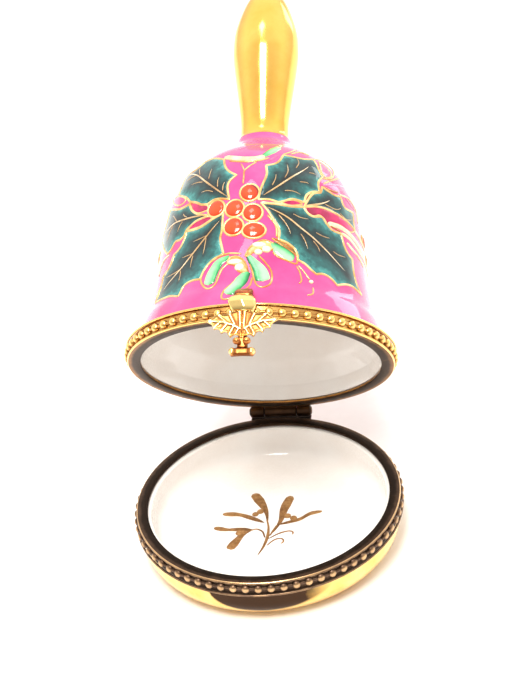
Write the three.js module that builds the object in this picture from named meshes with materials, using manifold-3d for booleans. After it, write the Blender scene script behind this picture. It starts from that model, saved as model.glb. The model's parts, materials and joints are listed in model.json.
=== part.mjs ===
// A hinged porcelain trinket box in the shape of a hand bell, standing open.
// The shallow base is a porcelain dish. The lid is the bell with its handle.
// Both wear a brass bezel with a beaded wire, joined by a three-knuckle hinge at the back.
// A brass clasp with two holly leaves hangs from the front of the lid.
//
// Millimetres. +Z is up and -Y is the front, where the clasp is.
// The origin is the centre of the base's flat underside.
// Parts of the lid are written where they lie with the box closed, with heights above the
// lid's mouth, and one group then swings them open about the hinge.

import * as THREE from 'three';
import { mergeVertices } from 'three/addons/utils/BufferGeometryUtils.js';
import Module from 'manifold-3d';

const wasm = await Module();
wasm.setup();

// ---- Driving dimensions ----

const rimHeight = 10; // top of the base's bezel
const closedGap = 0.3; // between the two bezels when the box is shut
const mouthHeight = rimHeight + closedGap; // the lid's mouth plane, closed
const openAngle = 54.4; // degrees, where the hinge meets its stop

const footRadius = 19.8; // flat underside of the dish
const dishRadius = 24.7; // widest part of the dish, just under its bezel
const seatRadius = 24.2; // porcelain outside, where a bezel grips it
const seatInside = 22.4; // porcelain inside, at the edge
const wall = 2; // porcelain thickness
const cementGap = 0.3; // porcelain to brass
const solderGap = 0.2; // brass to brass

const bandInside = seatRadius + cementGap; // brass band around the porcelain
const bandOutside = 24.95;
const bandHeight = 3;
const flange = 0.5; // thickness of the flat ring over the porcelain's edge
const baseRingInside = 23;
const lidRingInside = 22.6;
const lip = 0.2; // how far a bezel's rounded edge stands out of its band

const beadCount = 68;
const beadHeight = 1.3;
const beadPeak = 25.7; // radius to the crown of a bead
const beadValley = 25.4; // radius between two beads
const beadLevel = 1.35; // from a bezel's flat ring to the middle of its beads
const edgeWireRadius = 0.2;
const edgeWireLevel = 2.75; // from a bezel's flat ring to the plain wire

const bellHeight = 46; // mouth to the foot of the handle
const handleTip = 79.9; // mouth to the top of the handle

const hingeY = 26.9;
const hingeZ = rimHeight + closedGap / 2;
const barrelRadius = 1.1;
const barrelLength = 12;
const boreRadius = 0.6;
const pinRadius = 0.5;
const middleKnuckle = 6.3;
const knuckleGap = 0.15;
const leafThickness = 0.45;
const pinHeadRadius = 0.85;
const pinHeadThickness = 0.25;

const claspBack = 26.05; // distance of the clasp's back face from the bell's axis
const tongueThickness = 0.5;
const leafRelief = 0.6; // thickness of a holly leaf
const berryRadius = 0.7;

const fineSides = 60;
const bellSides = 48;
const handleSides = 32;
const smallSides = 20;

// ---- Materials ----

const material = (color, roughness, metalness) =>
  new THREE.MeshStandardMaterial({ color, roughness, metalness });

const pinkGlaze = () => material(0xff73b4, 0.12, 0);
const gilding = () => material(0xe0a93a, 0.15, 0.9);
const lustre = () => material(0xd9a441, 0.2, 0.8);
const antiqueBrass = () => material(0x7d6236, 0.35, 1);
const brightBrass = () => material(0xc9a04c, 0.25, 1);

// ---- Geometry helpers ----

// Turns an outline of [radius, height] points about +Z. The outline is closed, or it
// starts and ends on the axis.
function revolve(outline, sides) {
  const points = outline.map(([radius, height]) => new THREE.Vector2(radius, height));
  return new THREE.LatheGeometry(points, sides).rotateX(Math.PI / 2);
}

// A smooth run of outline points through a few [radius, height] points.
function smooth(points, steps) {
  const curve = new THREE.SplineCurve(points.map(([radius, height]) => new THREE.Vector2(radius, height)));
  return curve.getPoints(steps).map((point) => [Math.max(point.x, 0), point.y]);
}

// A quarter circle of outline points about a centre, between two angles in degrees.
function arc(centreRadius, centreHeight, size, from, to, steps) {
  const points = [];
  for (let step = 0; step <= steps; step += 1) {
    const angle = THREE.MathUtils.degToRad(from + ((to - from) * step) / steps);
    points.push([centreRadius + size * Math.cos(angle), centreHeight + size * Math.sin(angle)]);
  }
  return points;
}

const close = (outline) => [...outline, outline[0]];

const mirrorX = (outline) => outline.map(([x, z]) => [-x, z]).reverse();

function shapeOf(outline) {
  return new THREE.Shape(outline.map(([x, y]) => new THREE.Vector2(x, y)));
}

const extrude = (shape, depth) => new THREE.ExtrudeGeometry(shape, { depth, bevelEnabled: false });

// A plate cut to an outline of [x, height] points, standing in the XZ plane in front of the
// bell's axis: its back face is at y = -back and its front face at y = -back - thickness.
function frontPlate(outline, back, thickness) {
  return extrude(shapeOf(outline), thickness).rotateX(Math.PI / 2).translate(0, -back, 0);
}

// A bar along X with a section of [distance in front of the axis, height] points.
function crossBar(section, length) {
  const geometry = extrude(shapeOf(section), length).translate(0, 0, -length / 2);
  const axes = new THREE.Matrix4().makeBasis(
    new THREE.Vector3(0, -1, 0),
    new THREE.Vector3(0, 0, 1),
    new THREE.Vector3(-1, 0, 0),
  );
  return geometry.applyMatrix4(axes);
}

function solidOf(geometry) {
  const bare = geometry.clone();
  bare.deleteAttribute('normal');
  bare.deleteAttribute('uv');
  const merged = mergeVertices(bare, 1e-3);
  return new wasm.Manifold(new wasm.Mesh({
    numProp: 3,
    vertProperties: new Float32Array(merged.attributes.position.array),
    triVerts: new Uint32Array(merged.index.array),
  }));
}

function geometryOf(solid) {
  const mesh = solid.getMesh();
  const geometry = new THREE.BufferGeometry();
  geometry.setAttribute('position', new THREE.BufferAttribute(mesh.vertProperties, 3));
  geometry.setIndex(new THREE.BufferAttribute(mesh.triVerts, 1));
  geometry.computeVertexNormals();
  return geometry;
}

// ---- Porcelain ----

// The dish: a flat foot, a rounded wall outside and a bowl inside.
function dishGeometry() {
  const turn = 4.8; // radius of the wall's curve, outside
  const bowlTurn = 3; // the same inside
  const edge = rimHeight - flange - cementGap;
  const shoulder = rimHeight - bandHeight - cementGap;
  return revolve([
    [0, 0],
    [footRadius, 0],
    ...arc(dishRadius - turn, turn + 0.2, turn, -75, 0, 6),
    [dishRadius, shoulder - 0.2],
    [seatRadius, shoulder],
    [seatRadius, edge],
    [seatInside, edge],
    ...arc(seatInside - bowlTurn, wall + bowlTurn + 0.9, bowlTurn, 0, -90, 4),
    [0, wall + 0.7],
  ], bellSides);
}

// The bell: a short upright edge inside the bezel, a flare, a waist and a round shoulder.
function bellGeometry() {
  const edge = flange + cementGap;
  const outside = smooth([
    [seatRadius, 3.3], [22.85, 6.4], [21.6, 9.2], [20.3, 15.5], [19.4, 23], [18.4, 29.8],
    [17.2, 33.2], [15.3, 36.8], [12.6, 39.6], [9.2, 42], [6.4, 44.1], [5.3, bellHeight],
  ], 18);
  const inside = smooth([
    [0, 41.4], [5, 40.8], [9.4, 38.9], [12.8, 36.2], [15, 32.8], [16.3, 29.2],
    [17.4, 23], [18.3, 15.5], [19.7, 9.2], [20.9, 6.6], [seatInside, 3.6],
  ], 14);
  return revolve([
    ...inside,
    [seatInside, edge],
    [seatRadius, edge],
    ...outside,
    [0, bellHeight],
  ], bellSides);
}

function handleGeometry() {
  const foot = bellHeight + cementGap;
  return revolve([
    [0, foot],
    ...smooth([
      [5.2, foot], [4.65, 48], [4.75, 50.5], [5.2, 54.2], [5.8, 58.6], [6.35, 63],
      [6.5, 66], [6.2, 69.8], [5, 74], [3.6, 77.1], [1.9, 79.2], [0, handleTip],
    ], 18),
  ], handleSides);
}

// ---- Bezels and wires ----

// A bezel's section, with heights measured away from its flat ring at 0.
function bezelSection(ringInside) {
  return [
    [ringInside, 0],
    [bandOutside, 0],
    [bandOutside + lip, lip],
    [bandOutside + lip, 0.4],
    [bandOutside, 0.55],
    [bandOutside, bandHeight],
    [bandInside, bandHeight],
    [bandInside, flange],
    [ringInside, flange],
  ];
}

const upsideDown = (outline, top) => outline.map(([radius, level]) => [radius, top - level]).reverse();

function beadWire(level) {
  const outline = [];
  for (let step = 0; step < beadCount * 2; step += 1) {
    const angle = (step * Math.PI) / beadCount;
    const radius = step % 2 === 0 ? beadPeak : beadValley;
    outline.push([radius * Math.cos(angle), radius * Math.sin(angle)]);
  }
  const shape = shapeOf(outline);
  const hole = new THREE.Path();
  const holeRadius = bandOutside + solderGap;
  const holePoints = [];
  for (let step = 0; step < fineSides; step += 1) {
    const angle = (-step * 2 * Math.PI) / fineSides;
    holePoints.push(new THREE.Vector2(holeRadius * Math.cos(angle), holeRadius * Math.sin(angle)));
  }
  shape.holes.push(hole.setFromPoints(holePoints));
  return extrude(shape, beadHeight).translate(0, 0, level - beadHeight / 2);
}

function edgeWire(level) {
  const centre = bandOutside + solderGap + edgeWireRadius;
  const section = arc(centre, level, edgeWireRadius, -180, 180, 6);
  return revolve(section, fineSides);
}

// ---- Hinge ----

// A knuckle: a short tube along X, centred on x = middle at the hinge's axis.
function knuckleGeometry(middle, length) {
  const half = length / 2;
  const tube = revolve(close([
    [boreRadius, -half],
    [barrelRadius, -half],
    [barrelRadius, half],
    [boreRadius, half],
  ]), smallSides);
  return tube.rotateY(Math.PI / 2).translate(middle, hingeY, hingeZ);
}

function pinGeometry() {
  const end = barrelLength / 2 + pinHeadThickness + 0.05;
  const neck = end - pinHeadThickness;
  return revolve([
    [0, -end],
    [pinHeadRadius, -end],
    [pinHeadRadius, -neck],
    [pinRadius, -neck],
    [pinRadius, neck],
    [pinHeadRadius, neck],
    [pinHeadRadius, end],
    [0, end],
  ], smallSides).rotateY(Math.PI / 2).translate(0, hingeY, hingeZ);
}

// A leaf: the plate that joins the knuckles to a bezel's band. Its front edge follows the band.
function leafGeometry(width, bottom) {
  const inner = beadPeak + solderGap;
  const reach = hingeY + 0.4;
  const half = width / 2;
  const turn = Math.asin(half / inner);
  const outline = [[half, reach], [-half, reach]];
  const steps = 8;
  for (let step = 0; step <= steps; step += 1) {
    const angle = -turn + (2 * turn * step) / steps;
    outline.push([inner * Math.sin(angle), inner * Math.cos(angle)]);
  }
  return extrude(shapeOf(outline), leafThickness).translate(0, 0, bottom);
}

// ---- Clasp ----

// The boss: a bevelled shield whose top leans in over the bezel to the porcelain.
function bossGeometry() {
  const front = frontPlate([
    [-1.3, 6.2], [-2.7, 3.3], [-2.7, 2.2], [-2.1, 0.8],
    [2.1, 0.8], [2.7, 2.2], [2.7, 3.3], [1.3, 6.2],
  ], claspBack - 4, 8);
  const side = crossBar([
    [claspBack, 0.7], [27.25, 0.7], [27.65, 2.6], [26.85, 4.2], [24.4, 6.1], [23.7, 6],
    [25.2, 4.5], [claspBack, 3.8],
  ], 8);
  return geometryOf(solidOf(front).intersect(solidOf(side)));
}

// The tongue: a narrow stem that ends in a wide foot with rounded corners.
function tongueGeometry() {
  const top = 0.5;
  const stem = 0.75;
  const foot = 2.1;
  const half = [
    [stem, top], [stem, -5.3], [1.4, -5.7], [1.8, -5.6], [foot, -6], [foot, -6.6], [1.7, -7],
  ];
  return frontPlate([...half, ...mirrorX(half)].reverse(), claspBack, tongueThickness);
}

// A holly leaf of the clasp, on the right: a root at the middle and points along both edges.
const hollyOutline = [
  [0.35, -3.3], [0.35, -0.4], [1.6, 0.4], [2.6, 0.3], [3.9, 0.9], [4.6, 0.5], [6, 0.1],
  [5.1, -0.6], [4.9, -1.3], [4, -1.7], [3.7, -2.6], [2.7, -2.5], [2, -3.2], [1.2, -2.9],
];
const hollyBack = claspBack + tongueThickness + 0.3;

const hollyGeometry = (outline) => frontPlate(outline, hollyBack, leafRelief);

function berryGeometry(side) {
  const centre = hollyBack + 0.35;
  return new THREE.SphereGeometry(berryRadius, 14, 10).translate(1.1 * side, -centre, -4.4);
}

// ---- Assembly ----

const piece = (name, geometry, finish) => {
  const mesh = new THREE.Mesh(geometry, finish);
  mesh.name = name;
  return mesh;
};

const outerKnuckle = (barrelLength - middleKnuckle) / 2 - knuckleGap;
const outerKnuckleMiddle = (barrelLength - outerKnuckle) / 2;
const baseBezel = close(upsideDown(bezelSection(baseRingInside), rimHeight));
const lidBezel = close(bezelSection(lidRingInside));

const base = new THREE.Group();
base.add(
  piece('base_dish', dishGeometry(), lustre()),
  piece('base_bezel', revolve(baseBezel, fineSides), antiqueBrass()),
  piece('base_bead_wire', beadWire(rimHeight - beadLevel), antiqueBrass()),
  piece('base_edge_wire', edgeWire(rimHeight - edgeWireLevel), antiqueBrass()),
  piece('base_hinge_leaf', leafGeometry(barrelLength, hingeZ - barrelRadius - 0.2 - leafThickness), antiqueBrass()),
  piece('base_knuckle_left', knuckleGeometry(-outerKnuckleMiddle, outerKnuckle), antiqueBrass()),
  piece('base_knuckle_right', knuckleGeometry(outerKnuckleMiddle, outerKnuckle), antiqueBrass()),
  piece('hinge_pin', pinGeometry(), antiqueBrass()),
);

// Heights here are above the lid's mouth, except for the hinge's own parts.
const bell = new THREE.Group();
bell.position.z = mouthHeight;
bell.add(
  piece('bell_shell', bellGeometry(), pinkGlaze()),
  piece('handle', handleGeometry(), gilding()),
  piece('bell_bezel', revolve(lidBezel, fineSides), antiqueBrass()),
  piece('bell_bead_wire', beadWire(beadLevel), antiqueBrass()),
  piece('bell_edge_wire', edgeWire(edgeWireLevel), antiqueBrass()),
  piece('clasp_boss', bossGeometry(), brightBrass()),
  piece('clasp_tongue', tongueGeometry(), brightBrass()),
  piece('clasp_leaf_right', hollyGeometry([...hollyOutline].reverse()), brightBrass()),
  piece('clasp_leaf_left', hollyGeometry(mirrorX([...hollyOutline].reverse())), brightBrass()),
  piece('clasp_berry_right', berryGeometry(1), brightBrass()),
  piece('clasp_berry_left', berryGeometry(-1), brightBrass()),
);

// The lid turns about the hinge's axis: the inner group undoes the axis's offset.
const closedLid = new THREE.Group();
closedLid.position.set(0, -hingeY, -hingeZ);
closedLid.add(
  bell,
  piece('bell_knuckle', knuckleGeometry(0, middleKnuckle), antiqueBrass()),
  piece('bell_hinge_leaf', leafGeometry(barrelLength, hingeZ + barrelRadius + 0.2), antiqueBrass()),
);

const lid = new THREE.Group();
lid.position.set(0, hingeY, hingeZ);
lid.rotation.x = -THREE.MathUtils.degToRad(openAngle);
lid.add(closedLid);

const box = new THREE.Group();
box.add(base, lid);

export default box;
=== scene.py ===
import bpy
import json
import math
import numpy as np
from mathutils import Matrix, Vector
from mathutils.geometry import delaunay_2d_cdt

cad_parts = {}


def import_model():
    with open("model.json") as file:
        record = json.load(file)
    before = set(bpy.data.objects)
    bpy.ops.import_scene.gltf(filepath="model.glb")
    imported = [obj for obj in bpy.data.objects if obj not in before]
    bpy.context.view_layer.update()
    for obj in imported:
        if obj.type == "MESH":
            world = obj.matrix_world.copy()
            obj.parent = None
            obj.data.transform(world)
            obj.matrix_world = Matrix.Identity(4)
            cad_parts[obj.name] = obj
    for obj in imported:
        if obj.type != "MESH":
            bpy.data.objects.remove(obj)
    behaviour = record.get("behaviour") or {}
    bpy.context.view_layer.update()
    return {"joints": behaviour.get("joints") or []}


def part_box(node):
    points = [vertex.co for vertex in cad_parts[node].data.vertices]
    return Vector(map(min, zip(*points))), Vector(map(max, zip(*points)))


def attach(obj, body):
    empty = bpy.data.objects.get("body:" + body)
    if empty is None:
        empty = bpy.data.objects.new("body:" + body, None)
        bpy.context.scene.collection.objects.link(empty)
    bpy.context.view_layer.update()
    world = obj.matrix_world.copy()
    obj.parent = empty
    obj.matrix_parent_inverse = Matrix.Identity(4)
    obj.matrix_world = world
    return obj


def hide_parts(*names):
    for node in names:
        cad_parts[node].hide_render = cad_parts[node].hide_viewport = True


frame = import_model()

# A hinged porcelain trinket box in the shape of a hand bell, shown open. The frame is in metres;
# the sizes below are in millimetres. "Bell coordinates" have the bell's axis as Z, with heights
# above its mouth and azimuths in degrees from the front, positive towards +X.

MM = 0.001


# ---------------------------------------------------------------- places from the frame

joint = frame["joints"][0]
HINGE = Vector(joint["pos_m"])
OPEN_ANGLE = -math.radians(min(joint["range_deg"]))
OPENING_AXIS = Vector(joint["axis"])
CLOSED_GAP = 0.3
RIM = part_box("base_bezel")[1].z / MM
MOUTH = RIM + CLOSED_GAP


def swing(angle):
    """The turn about the hinge, as a matrix."""
    return Matrix.Translation(HINGE) @ Matrix.Rotation(angle, 4, OPENING_AXIS) @ Matrix.Translation(-HINGE)


CLOSED_TO_REST = swing(OPEN_ANGLE)
BELL_TO_REST = CLOSED_TO_REST @ Matrix.Translation((0, 0, MOUTH * MM))


# ---------------------------------------------------------------- sizes

SEAT_RADIUS = 24.2
SEAT_INSIDE = 22.4
BAND_OUTSIDE = 24.95
BAND_HEIGHT = 3.0
LIP = 0.2
FLANGE = 0.5
PORCELAIN_EDGE = 0.8
BASE_RING_INSIDE = 23.0
LID_RING_INSIDE = 22.6
BEAD_COUNT = 68
BEAD_RADIUS = 0.66
BEAD_TALL = 0.84
BEAD_CENTRE = 25.06
BEAD_LEVEL = 1.35
FIRST_BEAD = 1.1
EDGE_WIRE_CENTRE = 25.32
EDGE_WIRE_RADIUS = 0.22
EDGE_WIRE_LEVEL = 2.75
BARREL_RADIUS = 1.1
PIN_END = 6.3
LEAF_INSIDE = 25.9
LEAF_THICKNESS = 0.45

BELL_OUTSIDE = [
    (24.2, 3.0), (22.85, 6.4), (21.6, 9.2), (20.3, 15.5), (19.4, 23), (18.4, 29.8),
    (17.2, 33.2), (15.3, 36.8), (12.6, 39.6), (9.2, 42), (6.4, 44.1), (5.3, 46),
]
BELL_INSIDE = [
    (0, 41.4), (5, 40.8), (9.4, 38.9), (12.8, 36.2), (15, 32.8), (16.3, 29.2),
    (17.4, 23), (18.3, 15.5), (19.7, 9.2), (20.9, 6.6), (SEAT_INSIDE, 3.6),
]
HANDLE = [
    (5.3, 46.03), (4.85, 46.9), (4.68, 48.2), (4.75, 50.5), (5.2, 54.2), (5.8, 58.6), (6.35, 63),
    (6.5, 66), (6.2, 69.8), (5, 74), (3.6, 77.1), (1.9, 79.2), (0, 79.9),
]


# ---------------------------------------------------------------- colour and material helpers

def linear(red, green, blue):
    """An sRGB colour, 0 to 255, as the linear values that shaders take."""
    def one(value):
        share = value / 255
        return share / 12.92 if share <= 0.04045 else ((share + 0.055) / 1.055) ** 2.4
    return (one(red), one(green), one(blue), 1.0)


def set_range(node, *numbers):
    """Sets the two ranges of a Map Range node."""
    for socket, number in zip(("From Min", "From Max", "To Min", "To Max"), numbers):
        node.inputs[socket].default_value = number


class Shader:
    """A material with a Principled shader, and short calls that add nodes to it."""

    def __init__(self, name, **constants):
        self.material = bpy.data.materials.new(name)
        self.material.use_nodes = True
        self.tree = self.material.node_tree
        self.principled = self.tree.nodes["Principled BSDF"]
        for socket, value in constants.items():
            self.principled.inputs[socket.replace("_", " ")].default_value = value
        self.place = self.tree.nodes.new("ShaderNodeTexCoord").outputs["Object"]

    def node(self, kind, **settings):
        made = self.tree.nodes.new(kind)
        for key, value in settings.items():
            setattr(made, key, value)
        return made

    def link(self, output, socket):
        if isinstance(socket, str):
            socket = self.principled.inputs[socket]
        self.tree.links.new(output, socket)

    def noise(self, scale, detail=3.0, roughness=0.5, stretch=(1, 1, 1)):
        """Noise with features about 1/scale of a metre across."""
        mapping = self.node("ShaderNodeMapping")
        mapping.inputs["Scale"].default_value = stretch
        self.link(self.place, mapping.inputs["Vector"])
        made = self.node("ShaderNodeTexNoise")
        made.inputs["Scale"].default_value = scale
        made.inputs["Detail"].default_value = detail
        made.inputs["Roughness"].default_value = roughness
        self.link(mapping.outputs["Vector"], made.inputs["Vector"])
        return made.outputs["Fac"]

    def attribute(self, name):
        made = self.node("ShaderNodeAttribute", attribute_name=name)
        return made.outputs["Fac"]

    def ramp(self, value, stops):
        """A colour ramp over value. stops is [(position, colour)]."""
        made = self.node("ShaderNodeValToRGB")
        elements = made.color_ramp.elements
        while len(elements) < len(stops):
            elements.new(0.5)
        for element, (position, colour) in zip(elements, stops):
            element.position = position
            element.color = colour
        self.link(value, made.inputs["Fac"])
        return made.outputs["Color"]

    def fit(self, value, low, high, to_low, to_high):
        """value, stretched from low..high to to_low..to_high and held there."""
        made = self.node("ShaderNodeMapRange")
        set_range(made, low, high, to_low, to_high)
        self.link(value, made.inputs["Value"])
        return made.outputs["Result"]

    def math(self, operation, first, second):
        made = self.node("ShaderNodeMath", operation=operation)
        for socket, value in zip(made.inputs, (first, second)):
            if isinstance(value, (int, float)):
                socket.default_value = value
            else:
                self.link(value, socket)
        return made.outputs["Value"]

    def blend(self, first, second, share):
        """Two colours mixed by share."""
        made = self.node("ShaderNodeMix", data_type="RGBA")
        for socket, value in ((made.inputs[0], share), (made.inputs[6], first), (made.inputs[7], second)):
            if isinstance(value, (int, float, tuple)):
                socket.default_value = value
            else:
                self.link(value, socket)
        return made.outputs[2]

    def bump(self, height, strength, distance):
        """Bump of the given depth in metres."""
        made = self.node("ShaderNodeBump")
        made.inputs["Strength"].default_value = strength
        made.inputs["Distance"].default_value = distance
        self.link(height, made.inputs["Height"])
        self.link(made.outputs["Normal"], "Normal")


# ---------------------------------------------------------------- materials

def glaze(name, colours, mottle_scale, gloss):
    """Coloured enamel under a clear glaze, a little mottled, with a faint ripple."""
    shader = Shader(name, Coat_Weight=1.0, Coat_Roughness=0.03, Coat_IOR=1.5, Specular_IOR_Level=0.1)
    mottle = shader.noise(mottle_scale, 4, 0.55)
    shader.link(shader.ramp(mottle, list(zip((0.3, 0.52, 0.72), colours))), "Base Color")
    fine = shader.noise(2600, 2)
    shader.link(shader.fit(fine, 0.3, 0.7, gloss, gloss + 0.14), "Roughness")
    shader.bump(shader.noise(520, 2), 0.25, 0.00004)
    return shader.material


def pink_glaze():
    colours = [linear(226, 52, 124), linear(236, 70, 138), linear(244, 94, 154)]
    return glaze("pink_glaze", colours, 110, 0.14)


def white_glaze():
    colours = [linear(240, 233, 226), linear(246, 241, 236), linear(250, 248, 245)]
    return glaze("white_glaze", colours, 60, 0.2)


def gold(name, low, high, roughness, ripple):
    """Burnished gold with cloudy wear and a faint ripple."""
    shader = Shader(name, Metallic=1.0)
    cloud = shader.noise(170, 5, 0.6)
    shader.link(shader.ramp(cloud, [(0.32, low), (0.66, high)]), "Base Color")
    shader.link(shader.fit(cloud, 0.3, 0.75, roughness, roughness + 0.07), "Roughness")
    shader.bump(shader.noise(300, 3), ripple, 0.00002)
    return shader.material


def handle_gold():
    return gold("handle_gold", linear(252, 196, 92), linear(255, 208, 110), 0.1, 0.04)


def lustre_gold():
    """Gold lustre on the dish, painted dark brown where a mesh attribute is high: a painted dark reflection
    of the shade on the floor in front of it.
    """
    shader = Shader("lustre_gold", Metallic=1.0)
    cloud = shader.noise(260, 5, 0.6)
    bright = shader.ramp(cloud, [(0.32, linear(246, 192, 104)), (0.66, linear(255, 222, 146))])
    # Painted dark reflection: brown mixed into the lustre where the attribute is high.
    share = shader.math("ADD", shader.attribute("tarnish"), shader.fit(cloud, 0.3, 0.7, -0.1, 0.1))
    brown = linear(66, 48, 36)
    shader.link(shader.blend(bright, brown, shader.fit(share, 0.2, 0.75, 0.0, 1.0)), "Base Color")
    shader.link(shader.fit(cloud, 0.3, 0.7, 0.1, 0.26), "Roughness")
    shader.bump(shader.noise(1500, 3, 0.6, stretch=(1, 1, 0.3)), 0.2, 0.00002)
    return shader.material


def brass(name, dark, middle, bright, grain, roughness):
    """Brass that is dark in its hollows and bright where its attribute of wear and painted light is high:
    rubbed high spots, with painted highlights and painted shade on some pieces.
    """
    shader = Shader(name, Metallic=1.0)
    cloud = shader.noise(grain, 5, 0.62)
    wear = shader.math("ADD", shader.attribute("rub"), shader.fit(cloud, 0.3, 0.7, -0.09, 0.09))
    shader.link(shader.ramp(wear, [(0.12, dark), (0.5, middle), (0.86, bright)]), "Base Color")
    shader.link(shader.fit(wear, 0.1, 0.9, roughness + 0.26, roughness), "Roughness")
    shader.bump(shader.noise(1800, 4, 0.6), 0.3, 0.00003)
    return shader.material


# dark_brass and lid_brass are copies of one antique brass: the lid's is painted brighter, as a painted
# reflection of light from above, and the dish's darker, as painted shade.
def dark_brass():
    return brass("dark_brass", linear(48, 36, 28), linear(112, 88, 72), linear(226, 184, 134), 420, 0.24)


def lid_brass():
    return brass("lid_brass", linear(60, 44, 32), linear(184, 128, 68), linear(255, 212, 128), 420, 0.16)


# A much darker copy of the antique brass, for the hinge: the shade between the lid and the dish, under the
# open lid, is painted into its colour.
def hinge_brass():
    return brass("hinge_brass", linear(30, 20, 16), linear(50, 36, 28), linear(86, 64, 48), 500, 0.34)


def clasp_brass():
    return brass("clasp_brass", linear(124, 68, 34), linear(226, 152, 84), linear(255, 226, 148), 600, 0.12)


def enamel(name, stops, variation, grain, stretch=(1, 1, 1), metallic=0.0, roughness=0.28):
    """Raised enamel whose colour follows its shade attribute, with streaks of the given amount."""
    shader = Shader(name, Coat_Weight=1.0, Coat_Roughness=0.05, Metallic=metallic, Specular_IOR_Level=0.1)
    streak = shader.noise(grain, 4, 0.6, stretch)
    depth = shader.math("ADD", shader.attribute("shade"), shader.fit(streak, 0.3, 0.7, -variation, variation))
    shader.link(shader.ramp(depth, stops), "Base Color")
    shader.link(shader.fit(streak, 0.3, 0.7, roughness, roughness + 0.12), "Roughness")
    shader.bump(shader.noise(900, 2), 0.25, 0.00004)
    return shader.material


def leaf_enamel():
    """Teal, nearly black along the veins and paler towards the leaf's edge."""
    stops = [
        (0.0, linear(70, 154, 148)), (0.22, linear(28, 92, 90)),
        (0.5, linear(12, 50, 50)), (0.82, linear(4, 11, 11)),
    ]
    return enamel("leaf_enamel", stops, 0.12, 900, (1, 1, 0.5))


def raised_gold():
    stops = [(0.15, linear(166, 98, 38)), (0.42, linear(222, 158, 80)), (0.75, linear(252, 212, 144))]
    return enamel("raised_gold", stops, 0.25, 420, metallic=0.4)


def vein_cream():
    stops = [(0.1, linear(130, 88, 46)), (0.5, linear(204, 166, 112)), (0.9, linear(252, 236, 200))]
    return enamel("vein_cream", stops, 0.2, 420, metallic=0.15)


def berry_enamel():
    stops = [(0.1, linear(238, 74, 22)), (0.5, linear(222, 54, 16)), (0.95, linear(110, 18, 12))]
    return enamel("berry_enamel", stops, 0.08, 700, roughness=0.2)


def mint_enamel():
    stops = [(0.05, linear(166, 228, 172)), (0.35, linear(98, 196, 122)), (0.6, linear(42, 140, 80)),
             (0.95, linear(10, 66, 40))]
    return enamel("mint_enamel", stops, 0.08, 600, roughness=0.2)


def petal_enamel():
    stops = [(0.05, linear(240, 130, 172)), (0.4, linear(222, 40, 112)), (0.7, linear(160, 20, 72)),
             (0.95, linear(104, 26, 26))]
    return enamel("petal_enamel", stops, 0.08, 600)


def pearl_enamel():
    stops = [(0.05, linear(250, 240, 206)), (0.4, linear(214, 184, 112)), (0.7, linear(168, 130, 64)),
             (0.95, linear(100, 66, 30))]
    return enamel("pearl_enamel", stops, 0.12, 420, metallic=0.1)


def sprig_gold():
    """Matt gold brush work on white glaze."""
    stops = [(0.1, linear(176, 132, 80)), (0.5, linear(138, 96, 52)), (0.9, linear(96, 62, 32))]
    shader = Shader("sprig_gold", Metallic=0.25)
    cloud = shader.noise(900, 5, 0.65)
    depth = shader.math("ADD", shader.attribute("shade"), shader.fit(cloud, 0.3, 0.7, -0.3, 0.3))
    shader.link(shader.ramp(depth, stops), "Base Color")
    shader.link(shader.fit(cloud, 0.3, 0.7, 0.34, 0.55), "Roughness")
    shader.bump(shader.noise(2200, 3), 0.4, 0.00002)
    return shader.material


def floor_paper():
    shader = Shader("floor_paper", Roughness=0.85)
    grain = shader.noise(260, 4, 0.6)
    stops = [(0.3, linear(250, 249, 249)), (0.7, linear(254, 254, 254))]
    shader.link(shader.ramp(grain, stops), "Base Color")
    shader.bump(grain, 0.05, 0.0001)
    return shader.material


# ---------------------------------------------------------------- mesh helpers

def catmull(points, steps):
    """The smooth curve through points, as steps + 1 samples, spaced evenly by point number."""
    points = np.array(points, float)
    last = len(points) - 1
    spots = np.linspace(0, last, steps + 1)
    index = np.minimum(spots.astype(int), last - 1)
    part = (spots - index)[:, None]
    before, here = points[np.maximum(index - 1, 0)], points[index]
    there, after = points[index + 1], points[np.minimum(index + 2, last)]
    leave, arrive = (there - before) / 2, (after - here) / 2
    return (
        (2 * here - 2 * there + leave + arrive) * part**3
        + (-3 * here + 3 * there - 2 * leave - arrive) * part**2
        + leave * part
        + here
    )


def arc(centre_radius, centre_height, size, start, end, steps):
    angles = np.radians(np.linspace(start, end, steps + 1))
    return [(centre_radius + size * math.cos(a), centre_height + size * math.sin(a)) for a in angles]


def build(name, points, faces, material, place=None, face_materials=None, sharp=None, **attributes):
    """A mesh object from points in millimetres. place turns its own coordinates into the frame's."""
    mesh = bpy.data.meshes.new(name)
    mesh.from_pydata([tuple(float(c) * MM for c in p) for p in points], [], faces)
    if place is not None:
        mesh.transform(place)
    materials = material if isinstance(material, list) else [material]
    for one in materials:
        mesh.materials.append(one)
    if face_materials is not None:
        mesh.polygons.foreach_set("material_index", face_materials)
    for key, values in attributes.items():
        layer = mesh.attributes.new(key, "FLOAT", "POINT")
        layer.data.foreach_set("value", np.asarray(values, np.float32))
    mesh.validate()
    mesh.shade_smooth()
    if sharp is not None:
        mesh.set_sharp_from_angle(angle=math.radians(sharp))
    made = bpy.data.objects.new(name, mesh)
    bpy.context.scene.collection.objects.link(made)
    return made


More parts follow.
